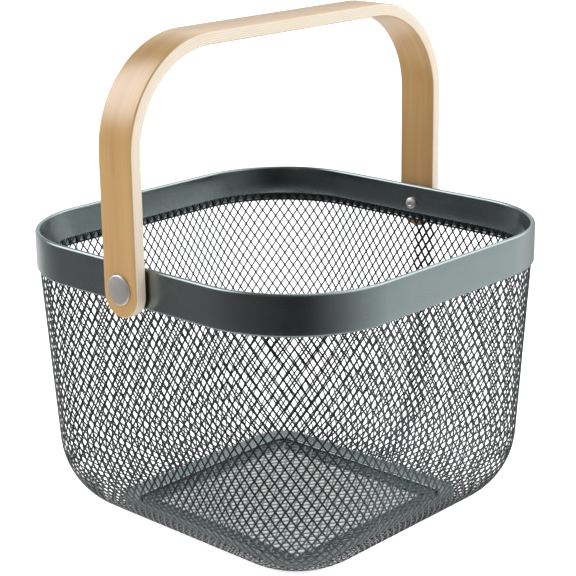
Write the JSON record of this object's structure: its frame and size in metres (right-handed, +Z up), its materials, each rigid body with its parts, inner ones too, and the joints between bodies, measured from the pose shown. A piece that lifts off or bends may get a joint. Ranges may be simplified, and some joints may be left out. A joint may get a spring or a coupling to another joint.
{
  "type": "mesh storage basket",
  "caption": "Square basket of painted diamond mesh with a folded steel rim band and a bentwood handle that swings down on two side pivots.",
  "frame": {"origin": "on the floor under the middle of the basket", "axes": "+Z up; X along the handle's pivot axis, with the welded lap of the wall mesh on +X; Y across it"},
  "size_m": [0.2664, 0.25, 0.3007],
  "materials": {
    "band_paint": "semi-gloss",
    "mesh_paint": "satin",
    "birch": "clear satin lacquer",
    "steel": "satin"
  },
  "bodies": {
    "basket": {"rim_band": "band_paint", "wall_mesh": "mesh_paint", "bottom_ring": "band_paint", "base_frame": "band_paint", "base_mesh": "mesh_paint", "left_barrel": "steel", "right_barrel": "steel", "left_screw": "steel", "right_screw": "steel", "left_washer": "steel", "right_washer": "steel"},
    "handle": {"handle": "birch"}
  },
  "joints": [
    {"name": "handle_swing", "type": "hinge", "parent": "basket", "child": "handle", "pos_m": [0, 0, 0.167], "axis": [1, 0, 0], "range_deg": [-95, 95]}
  ]
}
